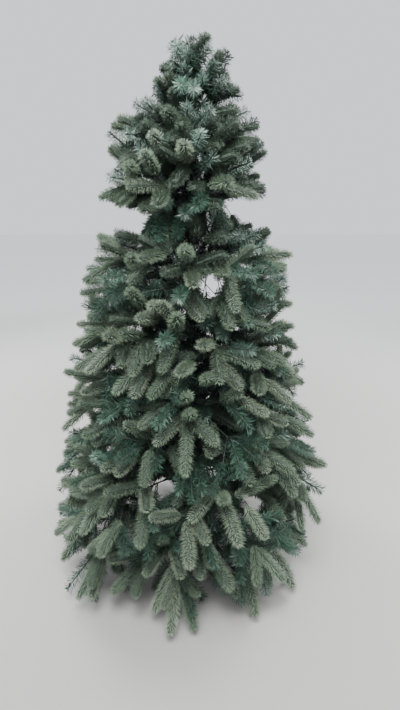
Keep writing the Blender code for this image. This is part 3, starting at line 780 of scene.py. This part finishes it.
def add_node(tree, kind, values, links, **settings):
    """A shader node with these settings, input values and linked inputs."""
    made = tree.nodes.new(f"ShaderNode{kind}")
    for name, value in settings.items():
        setattr(made, name, value)
    for name, value in values.items():
        made.inputs[name].default_value = value
    for name, output in links.items():
        tree.links.new(output, made.inputs[name])
    return made


def procedural(name, colour, roughness, metallic=0.0, change=0.12, scale=30.0, bump=0.0):
    """A finish whose colour and roughness vary a little over the piece."""
    made = bpy.data.materials.new(name)
    made.use_nodes = True
    tree = made.node_tree
    shader = tree.nodes["Principled BSDF"].inputs
    shader["Metallic"].default_value = metallic
    at = {"Vector": add_node(tree, "TexCoord", {}, {}).outputs["Object"]}
    noise = add_node(tree, "TexNoise", {"Scale": scale, "Detail": 3.0}, at).outputs["Fac"]
    ends = {
        "A": (*[c * (1 - change) for c in colour], 1),
        "B": (*[min(1, c * (1 + change)) for c in colour], 1),
    }
    mix = add_node(tree, "Mix", ends, {"Factor": noise}, data_type="RGBA")
    tree.links.new(mix.outputs["Result"], shader["Base Color"])
    limits = {"To Min": roughness - 0.06, "To Max": roughness + 0.06}
    spread = add_node(tree, "MapRange", limits, {"Value": noise})
    tree.links.new(spread.outputs["Result"], shader["Roughness"])
    if bump:
        fine = add_node(tree, "TexNoise", {"Scale": scale * 8}, at).outputs["Fac"]
        depth = {"Strength": bump, "Distance": 0.0005}
        relief = add_node(tree, "Bump", depth, {"Height": fine})
        tree.links.new(relief.outputs["Normal"], shader["Normal"])
    return made


FINISHES = {
    kind: [
        procedural(f"{kind}_{k + 1}", colour, ROUGHNESS[kind], change=0.15)
        for k, colour in enumerate(colours)
    ]
    + ([procedural(f"{kind}_middle", MIDDLE_SHADE[kind], 0.8)] if kind in MIDDLE_SHADE else [])
    for kind, colours in TINTS.items()
}
WIRE = procedural("wire", (0.022, 0.028, 0.022), 0.5)

# Sprays: a template placed for each tip with its own size and bend, somewhat slimmer and
# shorter than the tips of the solids. Short strips are wound on each stretch of wire.
Spray = namedtuple("Spray", "root along up length width kind tint bend")
THICKNESS = {MOULDED: 0.84, FOIL: 1.0, SLEEVE: 1.0}
LIFE_WIDTH = {MOULDED: 0.88, FOIL: 0.98}
LIFE_LENGTH = {MOULDED: 0.95, FOIL: 0.98}
LEAST_WIDTH = 0.95  # of a tip, against the rule's width for one of full size
WOUND_WIDTH = 0.036
WOUND_LENGTH = 0.03
LOWEST_NEEDLE = 0.003
# Radii of wires at their ends, and their sides.
STEM_WIRE = ((0.0030, 0.0022), 6)
TWIG_WIRE = ((0.0017, 0.0012), 4)


def spray_of(tip, draw):
    """The spray that stands for a tip, a little bent."""
    side = tip.along.cross(tip.up)
    bend = (side * draw.uniform(-0.04, 0.04) - tip.up * draw.uniform(-0.01, 0.06)) * tip.length
    up = tip.up
    if tip.kind == FOIL:
        turn = draw.uniform(0, 2 * math.pi)
        up = tip.up * math.cos(turn) + side * math.sin(turn)
    # Tints by height: the lighter one at the top is painted light, the darker ones low down are painted
    # shade.
    odds = next(kinds for height, kinds in TINT_ODDS if tip.root.z < height)
    tint = draw.choice(odds[tip.kind])
    middle = along_tip(tip, 0.5)
    out = (middle - pole_axis(middle.z)).xy.length / crown_radius(middle.z)
    # Tips deep in the crown take darker tints: painted shade.
    if out < SHADED_SHARE:
        tint = DEEP_SHADE if out < DEEP_SHADE_SHARE else SHADED
    length = tip.length * LIFE_LENGTH[tip.kind]
    width = max(tip.width, LEAST_WIDTH * TIP_WIDTH[tip.kind]) * LIFE_WIDTH[tip.kind]
    return Spray(tip.root, tip.along, up, length, width, tip.kind, tint, bend)


def wound(growths):
    """Sleeves of short strips along the stems and twigs."""
    sprays = []
    for low, high in stretches(growths):
        length = (high - low).length
        count = max(1, round(length / WOUND_LENGTH))
        along, up = tip_frame(high - low)
        size = (length / count, WOUND_WIDTH, SLEEVE, 0, Vector())
        sprays += [Spray(low.lerp(high, k / count), along, up, *size) for k in range(count)]
    return sprays


def placed(template, sprays):
    """One block of these sprays, all of one template."""
    points, faces, dark = template
    frames = np.array([
        (s.along.cross(s.up) * s.width / 2, s.up * s.width / 2 * THICKNESS[s.kind], s.along * s.length)
        for s in sprays
    ])
    roots_at = np.array([s.root for s in sprays])
    bends = np.array([s.bend for s in sprays])
    all_points = np.einsum("vk,tkc->tvc", points, frames) + roots_at[:, None, :]
    all_points += (points[:, 2] ** 2)[None, :, None] * bends[:, None, :]
    all_faces = faces[None, :, :] + (np.arange(len(sprays)) * len(points))[:, None, None]
    # A tip's middle takes its kind's last finish, painted shade.
    middle = np.array([len(TINTS[s.kind]) for s in sprays])[:, None]
    tint = np.array([s.tint for s in sprays])[:, None]
    slots = np.where(dark[None, :], middle, tint)
    return all_points.reshape(-1, 3), all_faces.reshape(-1, 3), slots.reshape(-1)


def add_object(name, data):
    """A new object in the scene."""
    made = bpy.data.objects.new(name, data)
    bpy.context.scene.collection.objects.link(made)
    return made


def mesh_piece(name, blocks, finishes, nodes, smooth=False):
    """A piece from these blocks, in place of these nodes."""
    points, faces, slots = stacked(blocks)
    mesh = bpy.data.meshes.new(name)
    mesh.vertices.add(len(points))
    mesh.vertices.foreach_set("co", points.astype(np.float32).ravel())
    mesh.loops.add(faces.size)
    mesh.loops.foreach_set("vertex_index", faces.astype(np.int32).ravel())
    mesh.polygons.add(len(faces))
    mesh.polygons.foreach_set("loop_start", np.arange(0, faces.size, 3, dtype=np.int32))
    for finish in finishes:
        mesh.materials.append(finish)
    mesh.polygons.foreach_set("material_index", slots.astype(np.int32))
    mesh.polygons.foreach_set("use_smooth", np.full(len(faces), smooth))
    mesh.update()
    mesh.validate()
    made = add_object(name, mesh)
    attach(made, "root")
    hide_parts(*nodes)
    return made


def foliage_piece(name, kind, sprays, nodes):
    """One piece of all these sprays, which are of one kind."""
    blocks = []
    for inner in (False, True):
        alike = [s for s in sprays if (s.tint == DEEP_SHADE) == inner]
        for variant, template in enumerate(SHAPES[kind, inner]):
            chosen = alike[variant::VARIANTS]
            if chosen:
                blocks.append(placed(template, chosen))
    for points, _, _ in blocks:
        points[:, 2] = np.maximum(points[:, 2], LOWEST_NEEDLE)
    mesh_piece(name, blocks, FINISHES[kind], nodes)


def skin(rings):
    """A closed body through rings of points."""
    sides = len(rings[0])
    last = (len(rings) - 1) * sides
    faces = wall_faces(len(rings), sides)
    faces += [(0, k + 1, k) for k in range(1, sides - 1)]
    faces += [(last, last + k, last + k + 1) for k in range(1, sides - 1)]
    return block([p for row in rings for p in row], faces)


def ring(centre, normal, radius, sides, start):
    """Points round a centre in the plane across normal, the first one towards start."""
    first = (start - normal * start.dot(normal)).normalized()
    second = normal.cross(first)
    turns = [2 * math.pi * k / sides for k in range(sides)]
    return [centre + (first * math.cos(t) + second * math.sin(t)) * radius for t in turns]


def tube(points, radii, sides):
    """A closed tapering tube."""
    rings = []
    last = len(points) - 1
    for k, point in enumerate(points):
        normal = (points[min(k + 1, last)] - points[max(k - 1, 0)]).normalized()
        start = UP if abs(normal.dot(UP)) < 0.95 else RIGHT
        radius = radii[0] + (radii[1] - radii[0]) * k / last
        rings.append(ring(point, normal, radius, sides, start))
    return skin(rings)


def wires(growths):
    """The stems and twigs of these growths, each on into its tip."""
    blocks = []
    for growth in growths:
        for k, twig in enumerate(growth.twigs):
            stem = k == 0 and not growth.finer
            points = twig.points + [twig.tip.root + twig.tip.along * 0.01]
            blocks.append(tube(points, *(STEM_WIRE if stem else TWIG_WIRE)))
    return blocks


def dress_tier(name, growths, nodes):
    """All foliage and wires of one tier."""
    draw = random.Random(f"{name} sprays")
    tips = [t for g in growths for t in g.tips if not in_the_way(t)]
    for kind in (MOULDED, FOIL):
        sprays = [spray_of(t, draw) for t in tips if t.kind == kind]
        foliage_piece(f"{kind}_{name}", kind, sprays, nodes)
    sleeves = [s for s in wound(growths) if not in_the_way(s, 0.0)]
    foliage_piece(f"wound_{name}", SLEEVE, sleeves, nodes)
    mesh_piece(f"twigs_{name}", wires(growths), [WIRE], nodes, smooth=True)


def dress_tree():
    """The foliage of every tier and of the leader."""
    for tier in TIERS:
        growths, nodes = [], []
        for index in range(len(tier.reaches)):
            growth = grow_branch(tier, index)
            growths += [growth, grow_finer(growth, f"{tier.name} {index} finer", FINE_ROOM)]
            nodes.append(f"foliage_{tier.name}_{index + 1}")
        dress_tier(tier.name, growths, nodes)
    leader = grow_leader()
    finer = grow_finer(leader, "leader finer", LEADER_FINE_ROOM)
    dress_tier("leader", [leader, finer], ["foliage_leader"])


# Metal parts: finer sides, softened edges, hinges, wound tape and rubber feet.
ROUND = 40  # sides of a large round body
EDGE = 0.0012  # how much of a corner is cut off
SHARP = math.radians(40)
PAINT = procedural("pole_paint", (0.020, 0.045, 0.030), 0.42, 0.35, 0.10, 40.0, 0.25)
BLACK = procedural("stand_paint", (0.015, 0.017, 0.016), 0.42, 0.35, 0.12, 40.0, 0.30)
RUBBER = procedural("foot_rubber", (0.018, 0.018, 0.018), 0.80, 0.0, 0.15, 60.0, 0.40)
ZINC = procedural("bolt_metal", (0.48, 0.48, 0.46), 0.34, 0.90, 0.10, 90.0, 0.20)
TAPE = procedural("bough_tape", (0.022, 0.036, 0.026), 0.60, 0.0, 0.25, 120.0, 0.40)
POLE_SHOULDER = 0.006
CHEEK = (0.005, 0.0006, 0.007)  # half sizes of a hinge's cheek: out, sideways and up
CHEEK_SPACING = 0.007  # from the branch's middle
PIN = (0.0095, 0.0016)  # half length and radius
TAPE_PITCH = 0.007  # for each turn
TAPE_STEP = 0.0016  # between rings
TAPE_SIDES = 14
TAPE_RELIEF = (0.90, 0.16)  # least radius against the wire's, and what a turn adds
SOCKET_LIP = 0.006
SOCKET_BRIM = 0.003
LEG_ROUND = 20
THREAD = (36, 0.0006, (0.0036, 0.0030))  # rings, their spacing and radii
HUB = ((0.020, 0.0045), (0.021, 0.0056), (0.029, 0.0056), (0.030, 0.0045))
WING_SHARES = (0.0, 0.15, 0.35, 0.55, 0.75, 0.9, 0.98, 1.0)
WING_ROUND = 20


def metal_piece(name, groups, finishes, nodes):
    """A smooth piece from groups of blocks, each group with its own finish."""
    blocks = [(p, f, s + k) for k, group in enumerate(groups) for p, f, s in group]
    made = mesh_piece(name, blocks, finishes, nodes, smooth=True)
    made.data.set_sharp_from_angle(angle=SHARP)


def softened(profile, by=EDGE):
    """A profile of (centre, radius) pairs with its corners cut off."""
    points = [Vector((*centre, radius)) for centre, radius in profile]
    out = [points[0]]
    for before, point, after in zip(points, points[1:], points[2:]):
        for other in (before, after):
            length = (other - point).length
            out.append(point.lerp(other, min(0.4, by / length)))
    out.append(points[-1])
    return [(Vector(p[:3]), p[3]) for p in out]


def turned_body(profile, axis=UP, start=RIGHT, sides=ROUND):
    """A round body along an axis from (centre, radius) pairs."""
    return skin([ring(centre, axis, radius, sides, start) for centre, radius in profile])


def box(centre, x, y, z):
    """A box round its centre from its three half axes."""
    signs = [(a, b, c) for a in (-1, 1) for b in (-1, 1) for c in (-1, 1)]
    points = [centre + x * a + y * b + z * c for a, b, c in signs]
    quads = ((0, 1, 3, 2), (4, 6, 7, 5), (0, 4, 5, 1), (2, 3, 7, 6), (0, 2, 6, 4), (1, 5, 7, 3))
    return block(points, [t for a, b, c, d in quads for t in ((a, b, c), (a, c, d))])


def pole_rings():
    """(axis point, radius) of each ring of the pole, from foot to tip."""
    rings = [(pole_axis(POLE_FOOT + GAP), SECTION_RADII[0])]
    collars = [(t.height + COLLAR_HEIGHT / 2, COLLAR_HEIGHT, COLLAR_LIP) for t in TIERS]
    sleeves = [(top, SLEEVE_HEIGHT, SLEEVE_WALL) for top in SECTION_TOPS[:-1]]
    for top, height, lip in sorted(collars + sleeves):
        low = top - height
        middle = pole_axis(top - height / 2)
        for z, out in ((low, 0), (low, lip), (top, lip)):
            rings.append((Vector((middle.x, 0, z)), pole_radius(low) + out))
        rings.append((Vector((middle.x, 0, top)), pole_radius(top + 0.001)))
    shoulder = SECTION_TOPS[-1]
    rings.append((pole_axis(shoulder), SECTION_RADII[-1]))
    rings.append((pole_axis(shoulder + POLE_SHOULDER), POLE_TIP_RADIUS))
    rings.append((pole_axis(POLE_TIP), POLE_TIP_RADIUS))
    return rings


def hinge(space):
    """Two cheeks and a pin, where a branch hangs on its collar."""
    out, side = space.outward, space.sideways
    centre = space.root + out * (pole_radius(space.root.z) + COLLAR_LIP + 0.001)
    axes = (out * CHEEK[0], side * CHEEK[1], UP * CHEEK[2])
    cheeks = [box(centre + side * d, *axes) for d in (-CHEEK_SPACING, CHEEK_SPACING)]
    ends = [centre + out * 0.002 + side * d for d in (-PIN[0], PIN[0])]
    return cheeks + [tube(ends, (PIN[1], PIN[1]), 10)]


def dress_pole():
    """The pole with its collars and sleeves, and the hinges on the collars."""
    spaces = [Space(tier, k) for tier in TIERS for k in range(len(tier.reaches))]
    hinges = [part for space in spaces for part in hinge(space)]
    pole = turned_body(softened(pole_rings()))
    metal_piece("pole_tube", [[pole], hinges], [PAINT, BLACK], ["pole"])


def taped(points, radii):
    """A wire with tape wound round it: each turn of the tape overlaps the one before."""
    count = max(2, round((points[-1] - points[0]).length / TAPE_STEP))
    rings = []
    for k in range(count + 1):
        share = k / count * (len(points) - 1)
        low = min(int(share), len(points) - 2)
        at = points[low].lerp(points[low + 1], share - low)
        normal = (points[low + 1] - points[low]).normalized()
        side = UP.cross(normal).normalized()
        over = normal.cross(side)
        radius = radii[0] + (radii[1] - radii[0]) * k / count
        row = []
        for s in range(TAPE_SIDES):
            turn = 2 * math.pi * s / TAPE_SIDES
            wound_share = (k * TAPE_STEP / TAPE_PITCH + turn / (2 * math.pi)) % 1.0
            wide = radius * (TAPE_RELIEF[0] + TAPE_RELIEF[1] * wound_share)
            row.append(at + (side * math.cos(turn) + over * math.sin(turn)) * wide)
        rings.append(row)
    return skin(rings)


def bough_path(space, count=6):
    """Points along a bare bough, from its collar to its mass of foliage."""
    start = space.seat()
    return [space.path(start + (space.bare - start) * k / count) for k in range(count + 1)]


def dress_boughs():
    """The bare boughs of the lowest tiers, as taped wires."""
    for tier in (t for t in TIERS if t.bare):
        spaces = [Space(tier, index) for index in range(len(tier.reaches))]
        made = [taped(bough_path(space), BOUGH_RADII) for space in spaces]
        nodes = [f"bough_{tier.name}_{index + 1}" for index in range(len(spaces))]
        metal_piece(f"bough_wires_{tier.name}", [made], [TAPE], nodes)


def rounded(points):
    """A path with its corners cut off twice."""
    for _ in range(2):
        cut = [points[0]]
        for low, high in zip(points, points[1:]):
            cut += [low.lerp(high, 0.25), low.lerp(high, 0.75)]
        points = cut + [points[-1]]
    return points


def dress_stand():
    """The socket, and the legs with their collars and rubber feet."""
    lip, brim, top = SOCKET_RADIUS + SOCKET_LIP, SOCKET_RADIUS + SOCKET_BRIM, SOCKET_HEIGHT
    profile = (
        (0.0, lip), (0.008, lip), (0.010, SOCKET_RADIUS), (top - 0.012, SOCKET_RADIUS),
        (top - 0.010, brim), (top, brim), (top, SOCKET_BORE), (POLE_FOOT, SOCKET_BORE),
    )
    socket = turned_body(softened([(UP * z, r) for z, r in profile], 0.0010))
    metal_piece("socket_tube", [[socket]], [BLACK], ["stand_socket"])
    seat = SOCKET_RADIUS * math.cos(math.pi / SOCKET_SIDES)
    route = (
        (seat, LEG_TOP), (seat + 0.030, LEG_TOP - 0.004), (LEG_REACH - 0.060, 0.026),
        (LEG_REACH - 0.030, 0.015), (LEG_REACH, 0.0125),
    )
    cap = (
        (0.0, 0.0120), (0.0015, FOOT_RADIUS), (0.016, FOOT_RADIUS), (0.019, 0.0115),
        (FOOT_HEIGHT, 0.009),
    )
    collar_radii = (LEG_RADIUS + 0.003, LEG_RADIUS + 0.001)
    for index in range(LEG_COUNT):
        outward, _ = turned(math.radians(45) + 2 * math.pi * index / LEG_COUNT)
        path = rounded([outward * radius + UP * z for radius, z in route])
        leg = tube(path, (LEG_RADIUS, LEG_RADIUS), LEG_ROUND)
        collar = tube([path[0], path[0] + outward * 0.005], collar_radii, LEG_ROUND)
        centre = outward * (LEG_REACH - 0.004)
        foot = turned_body([(centre + UP * z, r) for z, r in cap], sides=24)
        name = f"leg_{index + 1}"
        groups = [[leg, collar], [foot]]
        metal_piece(name, groups, [BLACK, RUBBER], [f"stand_{name}"])


def wing(foot, outward, sideways, side):
    """One wing of the bolt's head: a flat body that ends round."""
    rows = []
    turns = [2 * math.pi * k / WING_ROUND for k in range(WING_ROUND)]
    for share in WING_SHARES:
        centre = foot + outward * (0.025 + 0.001 * share) + sideways * side * (0.004 + 0.011 * share)
        fade = math.sqrt(max(0.02, 1 - share**6))
        thick, tall = 0.0016 * fade, (0.0040 + 0.0018 * share) * fade
        rows.append([centre + outward * thick * math.cos(t) + UP * tall * math.sin(t) for t in turns])
    return skin(rows if side > 0 else [row[::-1] for row in rows])


def dress_bolt():
    """The clamp bolt: a threaded shank, a hub and two wings."""
    outward, sideways = turned(BOLT_AZIMUTH)
    foot = UP * BOLT_HEIGHT + outward * (SOCKET_RADIUS + 0.0005)
    count, step, radii = THREAD
    thread = [(foot + outward * step * k, radii[k % 2]) for k in range(count)]
    shank = turned_body(thread, outward, UP, 20)
    hub = turned_body([(foot + outward * x, r) for x, r in HUB], outward, UP, 28)
    wings = [wing(foot, outward, sideways, side) for side in (-1, 1)]
    metal_piece("wing_bolt", [[shank, hub] + wings], [ZINC], ["clamp_bolt"])


# Camera: at the eye, how far it looks down, and its lens for a sensor 36 mm wide.
CAMERA_DOWN = math.radians(19.66)
SENSOR = 36.0
LENS = 44.1


def make_camera():
    data = bpy.data.cameras.new("camera")
    data.sensor_fit = "HORIZONTAL"
    data.sensor_width = SENSOR
    data.lens = LENS
    made = add_object("camera", data)
    made.location = EYE
    made.rotation_euler = (math.pi / 2 - CAMERA_DOWN, 0, 0)
    bpy.context.scene.camera = made


# Floor: its colour near the tree and far away, and the distances between which it changes.
FLOOR_NEAR = (0.255, 0.250, 0.244)
FLOOR_FAR = (0.546, 0.548, 0.552)
FLOOR_FADE = (1.2, 5.0)
FLOOR_HALF = 12.0


def floor_finish():
    """A pale finish, a little darker round the tree than far away."""
    made = procedural("floor", FLOOR_NEAR, 0.6, change=0.02, scale=0.5)
    tree = made.node_tree
    base = tree.nodes["Principled BSDF"].inputs["Base Color"]
    near = base.links[0].from_socket
    at = add_node(tree, "TexCoord", {}, {}).outputs["Object"]
    distance = add_node(tree, "VectorMath", {}, {0: at}, operation="LENGTH").outputs["Value"]
    fade = {"From Min": FLOOR_FADE[0], "From Max": FLOOR_FADE[1]}
    share = add_node(
        tree, "MapRange", fade, {"Value": distance}, interpolation_type="SMOOTHSTEP"
    ).outputs["Result"]
    mix = add_node(
        tree, "Mix", {"B": (*FLOOR_FAR, 1)}, {"Factor": share, "A": near}, data_type="RGBA"
    )
    tree.links.new(mix.outputs["Result"], base)
    return made


def make_floor():
    mesh = bpy.data.meshes.new("floor")
    corners = ((-1, -1), (1, -1), (1, 1), (-1, 1))
    mesh.from_pydata([(x * FLOOR_HALF, y * FLOOR_HALF, 0) for x, y in corners], [], [(0, 1, 2, 3)])
    mesh.materials.append(floor_finish())
    add_object("floor", mesh)


# Light: an even sky, a wide sun from above, and round lamps that shine at the tree's middle,
# each with its place, its diameter and its power.
SKY = (0.62, 0.64, 0.66)
SKY_STRENGTH = 1.75
SUN_STRENGTH = 2.6
SUN_WIDTH = math.radians(50)
SUN_TILT = (math.radians(28), math.radians(-10), 0)
LAMPS = {
    "key": ((-0.05, -1.5, 3.0), 1.1, 172),
    "fill_right": ((2.4, 1.3, 2.2), 1.8, 170),
    "fill_left": ((-2.0, 1.9, 2.2), 1.8, 170),
}
LIT_POINT = Vector((0, 0, 1.2))


def make_studio():
    world = bpy.data.worlds.new("studio")
    world.use_nodes = True
    background = world.node_tree.nodes["Background"]
    background.inputs["Color"].default_value = (*SKY, 1)
    background.inputs["Strength"].default_value = SKY_STRENGTH
    bpy.context.scene.world = world
    sun = bpy.data.lights.new("ceiling", "SUN")
    sun.energy = SUN_STRENGTH
    sun.angle = SUN_WIDTH
    add_object("ceiling", sun).rotation_euler = SUN_TILT
    for name, (place, size, power) in LAMPS.items():
        data = bpy.data.lights.new(name, "AREA")
        data.shape = "DISK"
        data.size = size
        data.energy = power
        made = add_object(name, data)
        made.location = place
        made.rotation_euler = (LIT_POINT - Vector(place)).to_track_quat("-Z", "Y").to_euler()


dress_tree()
dress_pole()
dress_boughs()
dress_stand()
dress_bolt()
make_floor()
make_studio()
make_camera()
